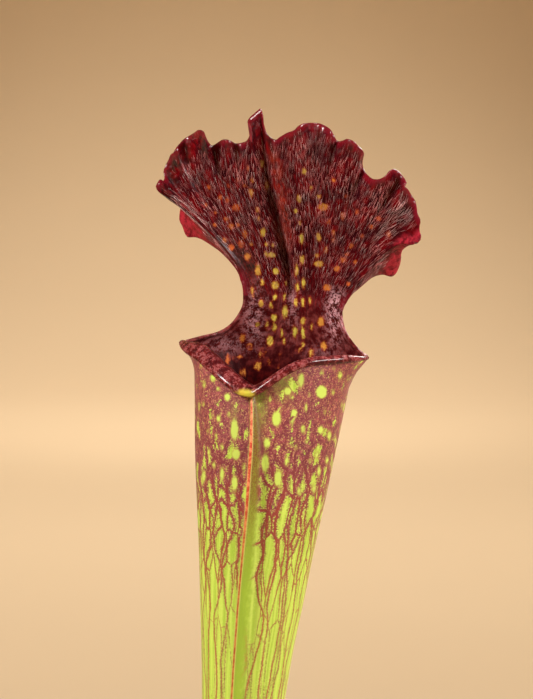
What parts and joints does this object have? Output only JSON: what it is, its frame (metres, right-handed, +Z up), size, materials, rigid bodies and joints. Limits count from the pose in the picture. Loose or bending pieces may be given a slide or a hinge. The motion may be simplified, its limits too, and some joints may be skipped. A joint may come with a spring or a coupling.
{
  "type": "potted pitcher plant",
  "caption": "Trumpet pitcher plant with a tall hooded tube leaf, younger pitchers and flat leaves, rooted in soil in a plain round pot.",
  "frame": {"origin": "centre of the pot's flat base, on the surface the pot stands on", "axes": "+Z up along the plant, -Y is the side that the keeled front of the tall pitcher faces, +X to the viewer's right"},
  "size_m": [0.0892, 0.0892, 0.2798],
  "materials": {
    "pitcher_leaf": "satin",
    "young_pitcher": "satin",
    "green_leaf": "satin",
    "leaf_hair": "satin",
    "dry_leaf": "matte",
    "rhizome": "matte",
    "soil": "matte",
    "pot_plastic": "matte"
  },
  "bodies": {
    "root": {"pot": "pot_plastic", "soil": "soil", "rhizome": "rhizome", "pitcher_main": "pitcher_leaf", "pitcher_small_1": "young_pitcher", "pitcher_small_2": "young_pitcher", "pitcher_bud": "green_leaf", "phyllode_1": "green_leaf", "phyllode_2": "green_leaf", "phyllode_3": "green_leaf", "leaf_base_1": "dry_leaf", "leaf_base_2": "dry_leaf"}
  },
  "joints": []
}
